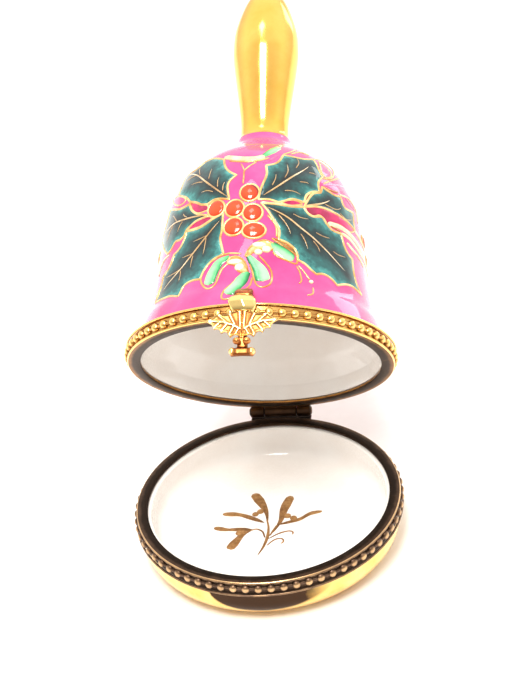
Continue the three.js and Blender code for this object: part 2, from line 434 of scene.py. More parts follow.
def lathe_data(outline, sides, closed):
    """Points and faces of an outline of (radius, height) turned about Z. Rows on the axis are one point."""
    outline = [tuple(map(float, p)) for p in outline]
    points, rows = [], []
    for radius, height in outline:
        if radius < 1e-6:
            rows.append([len(points)] * sides)
            points.append((0.0, 0.0, height))
            continue
        rows.append(list(range(len(points), len(points) + sides)))
        for side in range(sides):
            angle = 2 * math.pi * side / sides
            points.append((radius * math.sin(angle), -radius * math.cos(angle), height))
    pairs = list(zip(rows, rows[1:])) + ([(rows[-1], rows[0])] if closed else [])
    faces, face_rows = [], []
    for row_number, (low, high) in enumerate(pairs):
        for side in range(sides):
            following = (side + 1) % sides
            corners = [low[side], low[following], high[following], high[side]]
            unique = list(dict.fromkeys(corners))
            if len(unique) > 2:
                faces.append(tuple(unique))
                face_rows.append(row_number)
    return points, faces, face_rows


def lathe(name, outline, sides, material, place=None, closed=False, sharp=30, row_material=None, rub=None):
    points, faces, face_rows = lathe_data(outline, sides, closed)
    extra = {}
    if rub is not None:
        extra["rub"] = [rub(math.hypot(x, y), z) for x, y, z in points]
    chosen = [row_material[row] for row in face_rows] if row_material else None
    return build(name, points, faces, material, place, chosen, sharp, **extra)


def join_data(parts):
    """Several (points, faces) as one."""
    points, faces = [], []
    for some_points, some_faces in parts:
        start = len(points)
        points.extend(some_points)
        faces.extend(tuple(start + corner for corner in face) for face in some_faces)
    return points, faces


def ball_data(centre, radius, rings=8, sides=14, axis=(0, 0, 1)):
    """A round ball, or a flattened one when radius is three numbers."""
    sizes = radius if isinstance(radius, tuple) else (radius,) * 3
    turn = Vector((0, 0, 1)).rotation_difference(Vector(axis)).to_matrix()
    outline = [(math.sin(math.pi * k / rings), -math.cos(math.pi * k / rings)) for k in range(rings + 1)]
    outline[0], outline[-1] = (0, -1), (0, 1)
    points, faces, _ = lathe_data(outline, sides, False)
    placed = []
    for point in points:
        stretched = Vector((point[0] * sizes[0], point[1] * sizes[1], point[2] * sizes[2]))
        placed.append(tuple(Vector(centre) + turn @ stretched))
    return placed, faces


# ---------------------------------------------------------------- porcelain

def tarnish(x, y, height):
    """How strongly a dark reflection is painted into the dish's lustre at a point: in a crescent under the
    bezel, right of the front.
    """
    azimuth = math.degrees(math.atan2(x, -y))
    start, end = -22.0, 38.0
    if not start < azimuth < end or math.hypot(x, y) < 20:
        return 0.0
    along = (azimuth - start) / (end - start)
    depth = 5.0 * math.sin(math.pi * along**0.75) ** 0.55
    inside = (height - (7.0 - depth)) / 1.1
    return float(np.clip(inside, 0, 1) * np.clip((end - azimuth) / 22, 0, 1))


def dish(materials):
    turn, bowl_turn = 4.8, 3.0
    foot, widest = 19.8, 24.7
    edge = RIM - PORCELAIN_EDGE
    shoulder = RIM - BAND_HEIGHT - 0.3
    outside = [(0, 0), (12, 0), (foot - 0.4, 0)] + arc(widest - turn, turn + 0.2, turn, -87, 0, 30)
    outside += [(widest, height) for height in (5.2, 5.4, 5.6, 5.8, 6.0, 6.2, shoulder - 0.35)]
    outside += [(widest - 0.1, shoulder - 0.1), (SEAT_RADIUS, shoulder)]
    rim = [(SEAT_RADIUS, edge - 0.2), (SEAT_RADIUS - 0.2, edge), (SEAT_INSIDE + 0.25, edge)]
    rim += [(SEAT_INSIDE, edge - 0.25)]
    bowl = arc(SEAT_INSIDE - bowl_turn, 5.9, bowl_turn, 0, -88, 18)
    outline = outside + rim + bowl + [(15, 2.84), (8, 2.76), (0, 2.7)]
    split = len(outside) - 1
    rows = [0 if row < split else 1 for row in range(len(outline) - 1)]
    points, faces, face_rows = lathe_data(outline, 300, False)
    chosen = [rows[row] for row in face_rows]
    # Painted dark reflection in the lustre, as a crescent under the bezel right of the front.
    brown = [tarnish(*point) for point in points]
    return build("dish", points, faces, materials, None, chosen, 40, tarnish=brown)


def bell(materials):
    inside = [tuple(p) for p in catmull(BELL_INSIDE, 70)]
    outside = [tuple(p) for p in catmull(BELL_OUTSIDE, 90)]
    inside[0] = (0, BELL_INSIDE[0][1])
    edge = [
        (SEAT_INSIDE, PORCELAIN_EDGE + 0.3), (SEAT_INSIDE + 0.25, PORCELAIN_EDGE),
        (SEAT_RADIUS - 0.25, PORCELAIN_EDGE), (SEAT_RADIUS, PORCELAIN_EDGE + 0.3),
    ]
    outline = inside + edge + outside + [(0, BELL_OUTSIDE[-1][1])]
    split = len(inside) + 3
    rows = [1 if row < split else 0 for row in range(len(outline) - 1)]
    return lathe("bell", outline, 192, materials, BELL_TO_REST, sharp=40, row_material=rows)


def handle(material):
    outline = [tuple(p) for p in catmull(HANDLE, 110)]
    outline[-1] = (0, HANDLE[-1][1])
    return lathe("bell_handle", [(0, HANDLE[0][1])] + outline, 96, material, BELL_TO_REST, sharp=60)


# ---------------------------------------------------------------- bezels and wires

def bezel_outline(ring_inside):
    """A bezel's section, with heights measured away from its flat ring at 0."""
    bevel = 0.14
    outline = [(ring_inside, FLANGE), (ring_inside, bevel)]
    outline += [(ring_inside + 0.05, 0.05), (ring_inside + bevel, 0), (24.0, 0), (24.55, 0.02)]
    outline += arc(BAND_OUTSIDE + LIP - 0.3, 0.3, 0.3, -84, 60, 9)
    outline += [(BAND_OUTSIDE, 0.62), (BAND_OUTSIDE, 1.6), (BAND_OUTSIDE, BAND_HEIGHT - 0.06)]
    seat = SEAT_RADIUS + 0.02
    return outline + [(BAND_OUTSIDE - 0.06, BAND_HEIGHT), (seat, BAND_HEIGHT), (seat, FLANGE)]


def bezel_rub(face_level, direction, face_rub, edge_rub, band_rub):
    """How bright each point of a bezel is, from wear and painted light: on its flat ring, its round edge,
    where a highlight is painted, and its band.
    """
    def rub(radius, height):
        level = (height - face_level) * direction
        if radius > 24.9 and level < 0.6:
            # The round edge is painted bright: wear, and a painted highlight along it.
            return edge_rub if radius < 25.12 else edge_rub * 0.7
        if radius > 24.3 and level < 0.1:
            return face_rub + 0.22
        if radius < 23.3 and level < 0.1:
            return 0.05
        if level < 0.15:
            return face_rub
        return band_rub
    return rub


def bezel(name, ring_inside, face_level, direction, material, place, rubs):
    outline = [(radius, face_level + direction * level) for radius, level in bezel_outline(ring_inside)]
    if direction < 0:
        outline.reverse()
    rub = bezel_rub(face_level, direction, *rubs)
    return lathe(name, outline, 180, material, place, closed=True, sharp=35, rub=rub)


def ring_data(radius, height, size, sides=180, steps=10):
    section = arc(radius, height, size, 0, 360 - 360 / steps, steps - 1)
    points, faces, _ = lathe_data(section, sides, True)
    return points, faces


def bead_wire(name, face_level, direction, material, place, rubs):
    """A row of round beads on a thin round wire."""
    level = face_level + direction * BEAD_LEVEL
    parts = [ring_data(BAND_OUTSIDE + 0.05, level, 0.34)]
    for number in range(BEAD_COUNT):
        angle = 2 * math.pi * number / BEAD_COUNT + math.radians(FIRST_BEAD)
        outwards = (math.sin(angle), -math.cos(angle), 0)
        centre = (BEAD_CENTRE * outwards[0], BEAD_CENTRE * outwards[1], level)
        parts.append(ball_data(centre, (BEAD_TALL, BEAD_TALL, BEAD_RADIUS), 10, 16, outwards))
    points, faces = join_data(parts)
    rub = []
    for x, y, z in points:
        out = np.clip((math.hypot(x, y) - 25.1) / 0.5 - 0.2 * abs(z - level), 0, 1)
        rub.append(rubs[0] + (rubs[1] - rubs[0]) * out)
    return build(name, points, faces, material, place, rub=rub)


def edge_wire(name, face_level, direction, material, place, rubs):
    level = face_level + direction * EDGE_WIRE_LEVEL
    points, faces = ring_data(EDGE_WIRE_CENTRE, level, EDGE_WIRE_RADIUS, 180, 12)
    rub = [rubs[1] if math.hypot(x, y) > EDGE_WIRE_CENTRE else rubs[0] for x, y, _ in points]
    return build(name, points, faces, material, place, rub=rub)


# ---------------------------------------------------------------- hinge

def along_x(points, middle):
    """Turns points made about Z so that their axis lies along X through the hinge."""
    y, z = HINGE.y / MM, HINGE.z / MM
    return [(p[2] + middle, p[0] + y, p[1] + z) for p in points]


def knuckle(name, node, material):
    low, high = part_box(node)
    length, middle = (high.x - low.x) / MM, (high.x + low.x) / 2 / MM
    half, outer, bore, corner = length / 2, BARREL_RADIUS, 0.56, 0.12
    outline = [(bore, -half), (outer - corner, -half), (outer - 0.03, -half + 0.04), (outer, -half + corner)]
    outline += [(outer, 0), (outer, half - corner), (outer - 0.03, half - 0.04)]
    outline += [(outer - corner, half), (bore, half)]
    points, faces, _ = lathe_data(outline, 40, True)
    rub = [0.75 if math.hypot(p[0], p[1]) > outer - 0.02 else 0.25 for p in points]
    place = CLOSED_TO_REST if node == "bell_knuckle" else None
    return build(name, along_x(points, middle), faces, material, place, sharp=40, rub=rub)


def hinge_pin(material):
    neck, head, shaft = PIN_END - 0.25, 0.82, 0.52
    right = [(shaft, neck), (head - 0.05, neck), (head, neck + 0.05), (head * 0.8, PIN_END - 0.06)]
    right += [(head * 0.4, PIN_END - 0.01), (0, PIN_END)]
    left = [(radius, -height) for radius, height in reversed(right)]
    points, faces, _ = lathe_data(left + [(shaft, 0)] + right, 32, False)
    rub = [0.9 if abs(p[2]) > neck + 0.02 else 0.2 for p in points]
    return build("pin", along_x(points, 0), faces, material, None, sharp=40, rub=rub)


def hinge_leaf(name, bottom, material, place=None):
    """A plate from the beads to the knuckles, with its front edge round the beads."""
    half, reach = 6.0, HINGE.y / MM + 0.4
    columns, rows = 24, 6
    points, faces, rub = [], [], []
    for level, inset in ((0, 0.06), (0.06, 0), (LEAF_THICKNESS - 0.06, 0), (LEAF_THICKNESS, 0.06)):
        for column in range(columns + 1):
            x = (half - inset) * (2 * column / columns - 1)
            front = math.sqrt(LEAF_INSIDE**2 - x**2)
            for row in range(rows + 1):
                y = front + (reach - inset - front) * row / rows
                points.append((x, y, bottom + level))
                rub.append(0.7 if inset else 0.45)
    width, layer = rows + 1, (columns + 1) * (rows + 1)
    for column in range(columns):
        for row in range(rows):
            corner = column * width + row
            faces.append((corner, corner + 1, corner + width + 1, corner + width))
            top = corner + 3 * layer
            faces.append((top, top + width, top + width + 1, top + 1))
    edge = [column * width for column in range(columns + 1)]
    edge += [columns * width + row for row in range(1, rows + 1)]
    edge += [column * width + rows for column in range(columns - 1, -1, -1)]
    edge += [row for row in range(rows - 1, 0, -1)]
    for step in range(3):
        for here, there in zip(edge, edge[1:] + edge[:1]):
            start = step * layer
            faces.append((start + here, start + layer + here, start + layer + there, start + there))
    faces = [tuple(reversed(face)) for face in faces]
    return build(name, points, faces, material, place, sharp=40, rub=rub)


# ---------------------------------------------------------------- painted surfaces

class PaintedSurface:
    """The bell's outside, with a flat chart in millimetres: across is the distance round it at
    CHART_RADIUS, and up is the length along the outline from the mouth."""

    CHART_RADIUS = 19.5

    def __init__(self, outline, turn):
        curve = catmull(outline, 400)
        self.heights, self.radii = curve[:, 1], curve[:, 0]
        steps = np.hypot(np.diff(self.heights), np.diff(self.radii))
        self.lengths = np.concatenate([[0], np.cumsum(steps)])
        self.slopes = np.gradient(self.radii, self.heights)
        self.turn = turn

    def chart(self, points):
        """(azimuth, height) points as chart points."""
        points = np.array(points, float)
        across = np.radians(points[:, 0] + self.turn) * self.CHART_RADIUS
        return np.c_[across, np.interp(points[:, 1], self.heights, self.lengths)]

    def lay(self, chart_points, lift=0.0):
        """Chart points as points and normals in bell coordinates, lifted off the surface."""
        chart_points = np.asarray(chart_points, float)
        angle = chart_points[:, 0] / self.CHART_RADIUS
        height = np.interp(chart_points[:, 1], self.lengths, self.heights)
        radius = np.interp(height, self.heights, self.radii)
        slope = np.interp(height, self.heights, self.slopes)
        normal = np.c_[np.sin(angle), -np.cos(angle), -slope]
        normal /= np.linalg.norm(normal, axis=1)[:, None]
        place = np.c_[radius * np.sin(angle), -radius * np.cos(angle), height]
        return place + normal * np.reshape(lift, (-1, 1)), normal


class DishFloor:
    """The nearly level floor of the dish, whose chart points are X and Y."""

    def lay(self, chart_points, lift=0.0):
        chart_points = np.asarray(chart_points, float)
        reach = np.linalg.norm(chart_points, axis=1)
        height = np.interp(reach, [0, 8, 15], [2.7, 2.76, 2.84])
        normal = np.tile([0.0, 0.0, 1.0], (len(chart_points), 1))
        return np.c_[chart_points, height] + normal * np.reshape(lift, (-1, 1)), normal


def resample(path, spacing):
    """A path with points about spacing apart, with its ends kept."""
    path = np.asarray(path, float)
    lengths = np.concatenate([[0], np.cumsum(np.linalg.norm(np.diff(path, axis=0), axis=1))])
    count = max(3, int(lengths[-1] / spacing) + 1)
    spots = np.linspace(0, lengths[-1], count)
    return np.c_[np.interp(spots, lengths, path[:, 0]), np.interp(spots, lengths, path[:, 1])]


def closed_runs(runs, spacing):
    """The closed outline through runs of points, smooth within each run and sharp between two.
    Each run starts where the one before it ends."""
    corner, found = None, []
    for run in runs:
        points = ([] if corner is None else [corner]) + [tuple(p) for p in run]
        found.append(resample(catmull(points, 12 * len(points)), spacing)[:-1])
        corner = points[-1]
    return np.concatenate(found)


def gap(points, spots):
    """The distance from each point to the nearest spot."""
    return np.min(np.linalg.norm(points[:, None] - spots[None], axis=2), axis=1)


def nearest(points, paths):
    """The distance from each point to the nearest point of any path."""
    return gap(points, np.concatenate([resample(path, 0.2) for path in paths]))


def loop(outline):
    """An outline with its first point again at its end."""
    return np.concatenate([outline, outline[:1]])


def filled(outline, spacing):
    """Points and triangles that fill a flat closed outline. The outline's own points come first."""
    low, high = outline.min(axis=0), outline.max(axis=0)
    grid = [
        (x + spacing / 2 * (row % 2), y)
        for row, y in enumerate(np.arange(low[1], high[1], spacing * 0.87))
        for x in np.arange(low[0], high[0], spacing)
    ]
    grid = np.array(grid)
    clear = gap(grid, outline) > spacing * 0.55
    points = [Vector(p) for p in outline] + [Vector(p) for p in grid[clear]]
    count = len(outline)
    edges = [(index, (index + 1) % count) for index in range(count)]
    found, _, faces, _, _, _ = delaunay_2d_cdt(points, edges, [], 1, 1e-5)
    return np.array([tuple(p) for p in found]), [tuple(face) for face in faces]


class Paint:
    """Painted shapes gathered into one mesh. Each shape lies a little proud of its surface."""

    def __init__(self, surface):
        self.surface = surface
        self.points, self.faces, self.shade = [], [], []

    def add(self, points, faces, shade):
        start = len(self.points)
        self.points.extend(map(tuple, points))
        self.faces.extend(tuple(int(start + corner) for corner in face) for face in faces)
        self.shade.extend(shade)

    def line(self, path, width, height=0.16, closed=False, taper=0.12, shade=0.3, spacing=0.3):
        """A raised line along chart points. width is one number, or a few from start to end, and
        shade is one number or two."""
        path = resample(path, spacing)
        if closed:
            path = path[:-1]
        count, segments, sink = len(path), 6, 0.03
        along = np.linspace(0, 1, count)
        stations = np.atleast_1d(width)
        widths = np.interp(along, np.linspace(0, 1, len(stations)), stations)
        if not closed:
            ends = np.minimum(along + 0.02, 1.02 - along) / taper
            widths = widths * np.sqrt(np.clip(ends, 0.02, 1))
        place, normal = self.surface.lay(path)
        if closed:
            ahead = np.roll(place, -1, axis=0) - np.roll(place, 1, axis=0)
        else:
            ahead = np.gradient(place, axis=0)
        side = np.cross(normal, ahead)
        side /= np.linalg.norm(side, axis=1)[:, None] + 1e-12
        rise = height * np.minimum(1, widths / (np.max(widths) + 1e-9) + 0.25)
        rows = []
        for angle in np.linspace(0, math.pi, segments + 1):
            out = side * (widths / 2 * math.cos(angle))[:, None]
            rows.append(place + out + normal * (rise * math.sin(angle) - sink)[:, None])
        points = np.stack(rows, axis=1).reshape(-1, 3)
        wide = segments + 1
        faces = []
        for index in range(count if closed else count - 1):
            here, there = index * wide, (index + 1) % count * wide
            for step in range(wide):
                following = (step + 1) % wide
                faces.append((here + step, here + following, there + following, there + step))
        if not closed:
            faces.append(tuple(range(segments, -1, -1)))
            faces.append(tuple(range((count - 1) * wide, count * wide)))
        tones = np.interp(along, [0, 1], np.atleast_1d(shade)[[0, -1]])
        self.add(points, faces, np.repeat(tones, wide))

    def dome(self, centre, radius, height, shade=(0.15, 0.6), stretch=(1, 1), lean=0.0):
        """A round drop of enamel. Its shade runs from the middle to the edge, darker to the upper
        right by lean. Returns its edge."""
        rings, sides = 7, 28
        centre = np.array(centre)
        angles = np.linspace(0, 2 * math.pi, sides, endpoint=False)
        circle = np.c_[np.cos(angles) * stretch[0], np.sin(angles) * stretch[1]] * radius
        spots, lifts, tones = [centre[None]], [np.array([height])], [np.array([shade[0]])]
        for ring in range(1, rings + 1):
            part = ring / rings
            spots.append(centre + circle * part)
            sink = 0.04 if ring == rings else 0
            lifts.append(np.full(sides, height * math.sqrt(max(0, 1 - part**2)) - sink))
            towards = np.cos(angles - 0.8).clip(0, 1)
            tones.append(shade[0] + (shade[1] - shade[0]) * part**3 + lean * part**2 * towards)
        place, _ = self.surface.lay(np.concatenate(spots), np.concatenate(lifts))
        faces = [(0, 1 + side, 1 + (side + 1) % sides) for side in range(sides)]
        for ring in range(rings - 1):
            for side in range(sides):
                a, b = 1 + ring * sides + side, 1 + ring * sides + (side + 1) % sides
                faces.append((a, a + sides, b + sides, b))
        self.add(place, faces, np.concatenate(tones))
        return centre + circle

    def blade(self, path, widths, height=0.24, dark_side=0.5):
        """A strap leaf with a round end, along chart points. It is dark along its edges, and more
        so on its right when dark_side is positive. Returns its edge."""
        path = resample(path, 0.25)
        count, columns = len(path), 9
        along = np.linspace(0, 1, count)
        width = np.interp(along, np.linspace(0, 1, len(widths)), widths)
        width *= np.sqrt(1 - ((along - 0.88) / 0.12).clip(0, 1) ** 2) * 0.98 + 0.02
        ahead = np.gradient(path, axis=0)
        ahead /= np.linalg.norm(ahead, axis=1)[:, None]
        side = np.c_[-ahead[:, 1], ahead[:, 0]]
        rows, lifts, tones = [], [], []
        for place in np.linspace(-1, 1, columns):
            rows.append(path + side * (width * place / 2)[:, None])
            edge = -0.04 if abs(place) == 1 else 0.0
            crown = height * math.sqrt(max(0.0, 1 - place**2))
            lifts.append(crown * np.minimum(1, width / max(widths)) + edge)
            dark = np.clip(0.12 + 0.35 * place**2 - dark_side * place, 0, 1)
            tones.append(dark + 0.35 * (1 - along) ** 3)
        chart_points = np.stack(rows, axis=1).reshape(-1, 2)
        place, _ = self.surface.lay(chart_points, np.stack(lifts, axis=1).reshape(-1))
        faces = []
        for index in range(count - 1):
            for column in range(columns - 1):
                a, b = index * columns + column, (index + 1) * columns + column
                faces.append((a, b, b + 1, a + 1))
        self.add(place, faces, np.stack(tones, axis=1).reshape(-1))
        return np.concatenate([rows[0], rows[-1][::-1], rows[0][:1]])

    def fill(self, outline, tone, lift=0.07, spacing=0.5):
        """A padded fill of a closed outline of chart points. tone gives the shade of chart points."""
        flat, faces = filled(outline, spacing)
        count = len(outline)
        pad = np.minimum(1, gap(flat, outline) / 0.8)
        place, _ = self.surface.lay(flat, 0.03 + lift * np.sqrt(pad))
        sunk, _ = self.surface.lay(outline, -0.05)
        total = len(flat)
        skirt = [(total + i, total + (i + 1) % count, (i + 1) % count, i) for i in range(count)]
        tones = tone(flat)
        self.add(np.concatenate([place, sunk]), faces + skirt, np.concatenate([tones, tones[:count]]))

    def piece(self, name, material, place):
        return build(name, self.points, self.faces, material, place, shade=self.shade)


# ---------------------------------------------------------------- the bell's decoration
# Positions are (azimuth, height). An outline is a chain of runs, each from where the last ended,
# with a sharp point between two. Most points in these tables, and in the sprig's, were picked on the
# photo and turned into these coordinates by a scratch program.

SPRAY_AZIMUTH = 1.8  # how far the spray lies to the right of its tables' zero

# Holly leaves: outline, midrib and side veins.
HOLLY = [
    (
        [[(-12.5, 26.1), (-14, 28.3), (-14, 29.6), (-12, 30.6), (-9.5, 31.3)],
         [(-14.5, 32.4), (-18.5, 33.9), (-21.5, 36)],
         [(-32.5, 37.2), (-40.5, 37.1), (-46, 35.9), (-62, 36)],
         [(-57, 33), (-54.5, 30.7)],
         [(-45, 29.2), (-40, 27.7)],
         [(-34.5, 27), (-30.5, 26.2), (-26, 25.9)],
         [(-20.5, 26.6), (-12.5, 26.1)]],
        [(-14, 26.8), (-19, 28.1), (-29.5, 31), (-41, 33.8), (-56, 35.8)],
        [[(-20.5, 29.1), (-21, 30.5), (-20.5, 31.6)], [(-28, 31.5), (-28.5, 33.1), (-28.5, 34.3)],
         [(-37.5, 33.5), (-40.5, 34.8), (-41.5, 35.8)], [(-23, 28.3), (-27.5, 28.9), (-32.5, 28.8)],
         [(-32, 31.2), (-37.5, 31.6), (-43.5, 31.6)], [(-40.5, 33.8), (-46, 33.9), (-53.5, 33.5)],
         [(-17, 28.1), (-17, 29.3), (-16, 30.2)]],
    ),
    (
        [[(-27, 23.7), (-32, 24.3), (-37, 25.5), (-40.5, 27.3)],
         [(-44.5, 27.1), (-51, 27.4), (-65, 29.1)],
         [(-68, 26.5), (-75, 24)],
         [(-65, 21), (-57, 18.8)],
         [(-53, 19), (-48.5, 20.3), (-44.5, 20.2), (-41, 20.6)],
         [(-39.5, 21.7), (-36, 22.4), (-32, 23), (-25, 23.3), (-27, 23.7)]],
        [(-27, 23.6), (-33, 23.9), (-41.5, 24.2), (-53.5, 24.6), (-68, 24.2)],
        [[(-44.5, 25.7), (-43, 25), (-39.5, 24.3)], [(-44, 24.1), (-46.5, 23.1), (-48, 21.9)],
         [(-50, 24.6), (-54, 26), (-58, 27)], [(-54, 24.4), (-58, 23), (-60, 21.5)]],
    ),
    (
        [[(-15.5, 23.3), (-20.5, 22.6), (-28, 21.4), (-33.5, 21.2), (-39, 21.4)],
         [(-40, 20.3), (-42, 18.9), (-45, 18), (-48.5, 17.6)],
         [(-49, 16.4), (-51, 15.2), (-57, 14.1)],
         [(-56.5, 12.4), (-57, 10.5), (-59, 8.9)],
         [(-50, 8.6), (-43, 8.3), (-36, 7.4)],
         [(-35, 9.4), (-30.5, 10.2), (-25, 10.1)],
         [(-23.5, 11.9), (-20, 13.5), (-13.5, 14.7)],
         [(-16, 17.9), (-15.5, 19.7), (-15.5, 23.3)]],
        [(-17, 21.9), (-24, 19.2), (-32, 16.2), (-40, 13.5), (-50.5, 11), (-54.5, 10)],
        [[(-24, 19.2), (-29, 18.8), (-34, 18.6)], [(-24.5, 18.8), (-25, 16.8), (-25.5, 15)],
         [(-31.5, 16.1), (-36.5, 16), (-41, 15.9)], [(-32, 15.8), (-32.5, 14.4), (-32.5, 12.9)],
         [(-39.5, 13.6), (-45, 13.2), (-53.5, 13.2)], [(-39.5, 13.4), (-39, 11.9), (-39.5, 10.7)]],
    ),
    (
        [[(4, 25.7), (5, 27.7), (6.5, 29.2), (8.5, 31.3), (8, 33.5)],
         [(12.5, 33.8), (16.5, 34.7), (20, 36.5)],
         [(26.5, 36.4), (35, 36.4), (44.5, 37.2)],
         [(45, 36.2), (45, 34.4), (46, 32.9)],
         [(41.5, 31.4), (40.5, 30.1), (41, 28.9)],
         [(36, 28.6), (32, 27.6), (30, 25.9)],
         [(26.5, 26.1), (22.5, 26.2), (18.5, 25.6), (15, 25.2)],
         [(10, 25.7), (4, 25.7)]],
        [(6.5, 26.5), (14, 28.4), (23, 30.9), (32, 33.2), (38.5, 35)],
        [[(11.5, 28.7), (13.5, 30.2), (14, 31.6)], [(19, 30.6), (21.5, 32.4), (21.5, 34.4)],
         [(27, 33.4), (30, 34.9), (29.5, 36.2)], [(18.5, 27.8), (23.5, 27.9), (29, 27.3)],
         [(28, 30.2), (32, 30.3), (34.5, 30.1)], [(35.5, 32.9), (38.5, 33), (41, 32.8)]],
    ),
    (
        [[(30, 25.1), (33, 26.9), (36, 28.2), (41.5, 28.9)],
         [(42.5, 29.6), (43, 30.3)],
         [(47.5, 29.8), (52.5, 29.5), (58, 29.8)],
         [(59, 29), (61, 27.8), (71, 28)],
         [(70, 26.1), (70, 24.1)],
         [(62.5, 24.9), (51, 25.5), (40.5, 25.7), (30, 25.1)]],
        [(31, 25.3), (37.5, 26), (43.5, 26.9), (48.5, 28)],
        [[(43.5, 26.6), (50, 26.3), (54, 26.6), (58, 27.5)],
         [(55, 26), (59.5, 25.3), (63.5, 25.5), (68.5, 26.2)]],
    ),
    (
        [[(5.5, 24.9), (9, 23.5), (11.5, 22), (14, 20.6), (15.5, 19.2), (15, 17.5)],
         [(20, 16.8), (24, 15.5), (25, 13.5)],
         [(28.5, 13), (31.5, 12), (34.5, 11.2)],
         [(38.5, 11.6), (43, 11.1), (46.5, 10)],
         [(53, 10.9), (59, 11.1), (66.5, 10.3)],
         [(63.5, 11.9), (62.5, 14.7), (63, 17.3)],
         [(58.5, 18.1), (56, 19.6), (54.5, 21.6)],
         [(48.5, 21.5), (44.5, 22.2), (42, 23.4), (40, 23.7)],
         [(35, 23.3), (32, 23.7), (29.5, 24.9)],
         [(22, 24.6), (14, 24.8), (5.5, 24.9)]],
        [(9, 24.1), (19.5, 22.3), (27.5, 20.3), (34.5, 18.7),
         (42, 16.8), (46.5, 15.6), (52, 14.2), (56.5, 13.1)],
        [[(15, 22.6), (18.5, 21.1), (21, 19.5), (21.5, 18.3)], [(23, 23.1), (27.5, 22.5), (33, 22.5)],
         [(27, 19.2), (29.5, 17.7), (31, 15.9)], [(34, 18.2), (37, 17), (38, 15.8)],
         [(36, 20), (40.5, 19.6), (46, 19.6)], [(46.5, 17.1), (50.5, 16.7), (57, 16.9)]],
    ),
]

# Petals between the leaves: outline, and shade at the left and at the right.
PETALS = [
    ([[(16.5, 25.2), (19.5, 25.7), (23, 26), (26.5, 25.9), (29, 25.4)],
      [(22, 24.8), (16.5, 25.2)]], (0.7, 0.5)),
    ([[(30, 25.9), (31.5, 27.6), (35.5, 28.5), (38.5, 28.9)],
      [(35, 27.7), (32, 26.4), (30, 25.9)]], (0.95, 0.95)),
    ([[(30, 24.9), (32, 23.8), (35.5, 23.4), (40, 23.9), (44, 22.5), (47.5, 23.1)],
      [(54.5, 23.3), (63.5, 23), (70, 24.1)],
      [(62.5, 24.9), (51, 25.5), (40.5, 25.7), (30, 24.9)]], (0.8, 0.35)),
    ([[(-25, 24.6), (-26, 25.7), (-30.5, 26.1), (-34.5, 26.9), (-40, 27.6)],
      [(-37, 25.7), (-32, 24.5), (-25, 24.6)]], (0.5, 0.75)),
    ([[(-20.5, 22.8), (-28, 21.6), (-33.5, 21.4), (-39, 21.5)],
      [(-36, 22.3), (-32, 22.9), (-25, 23.2), (-20.5, 22.8)]], (0.5, 0.75)),
    ([[(-46, 29.2), (-54.5, 30.7), (-67, 31.5)], [(-57.5, 29.2), (-49.5, 28.1), (-44.5, 28.4), (-46, 29.2)]],
     (0.1, 0.3)),
    ([[(50.5, 37.3), (55, 36.7), (57.5, 35.3), (55, 34), (48.5, 33)],
      [(47, 34.5), (50.5, 37.3)]], (0.1, 0.3)),
]

# Berries: (azimuth, height), radius, stretch and darkness of the upper right.
BERRIES = [
    ((-1, 27.2), 1.85, (1, 1), 0.9), ((-20, 24.5), 1.75, (1, 1), 0.1), ((-9, 24), 1.82, (1, 1), 0.1),
    ((1, 22.9), 1.85, (1, 1), 0.7), ((-9, 20.2), 1.85, (1, 1), 0.15), ((2, 19.2), 1.85, (1.15, 0.88), 0.2),
    ((87, 24), 1.4, (1, 1), 0.3), ((97, 21.4), 1.4, (1, 1), 0.3),
]

# Mistletoe leaves: the points along each, its widths, and its darker side.
MISTLETOE = [
    ([(-10, 13.9), (-15, 13.1), (-17.5, 11.7), (-19, 10.1), (-19.5, 8.4)], (1.1, 2.0, 2.2, 2.1), -0.25),
    ([(-0.5, 10.5), (-3, 8.8), (-6, 7.1), (-9, 5.6)], (1.4, 2.4, 2.4, 2.2), -0.3),
    ([(-0.5, 13.9), (2.5, 12.4), (5.5, 10.7), (7.2, 8.4)], (1.0, 2.0, 2.7, 2.8), 0.4),
    ([(11.5, 16.6), (15, 15.4), (19, 14.4), (22.5, 13.4)], (1.2, 2.3, 2.4, 2.0), -0.4),
    ([(6, 35.9), (11, 37.2), (19.5, 39.3)], (1.2, 2.2, 1.9), -0.3),
]

# Pale bodies between the mistletoe leaves: outline, and shade at the left and at the right.
BODIES = [
    ([[(-2, 13.9), (0, 15.6), (4, 16.8), (8, 17.2), (12.5, 16.6)],
      [(12, 15.2), (8.5, 15.3), (4, 15.1), (-0.5, 13.9), (-2, 13.9)]], (0.55, 0.4)),
    ([[(-10, 13.8), (-6, 13.9), (-2, 12.7), (0, 10.5)],
      [(-4.5, 10.6), (-7, 12), (-11, 12.6), (-10, 13.8)]], (0.5, 0.6)),
    ([[(11.5, 17.6), (15.5, 17.3), (20.5, 16.4), (24, 15.5), (25.5, 14.1)],
      [(22, 15.1), (18, 16), (11.5, 17.6)]], (0.7, 0.95)),
]

# White drops: (azimuth, height), radius and stretch.
PEARLS = [
    ((5, 16.2), 0.9, (1.5, 0.7)), ((8.7, 15.3), 0.85, (1, 0.9)), ((4.6, 14.7), 0.7, (1.1, 0.9)),
    ((-7.3, 12.8), 0.95, (1.5, 0.65)), ((-4.6, 11.6), 0.85, (1, 1)), ((31, 9.3), 0.4, (1, 1)),
]

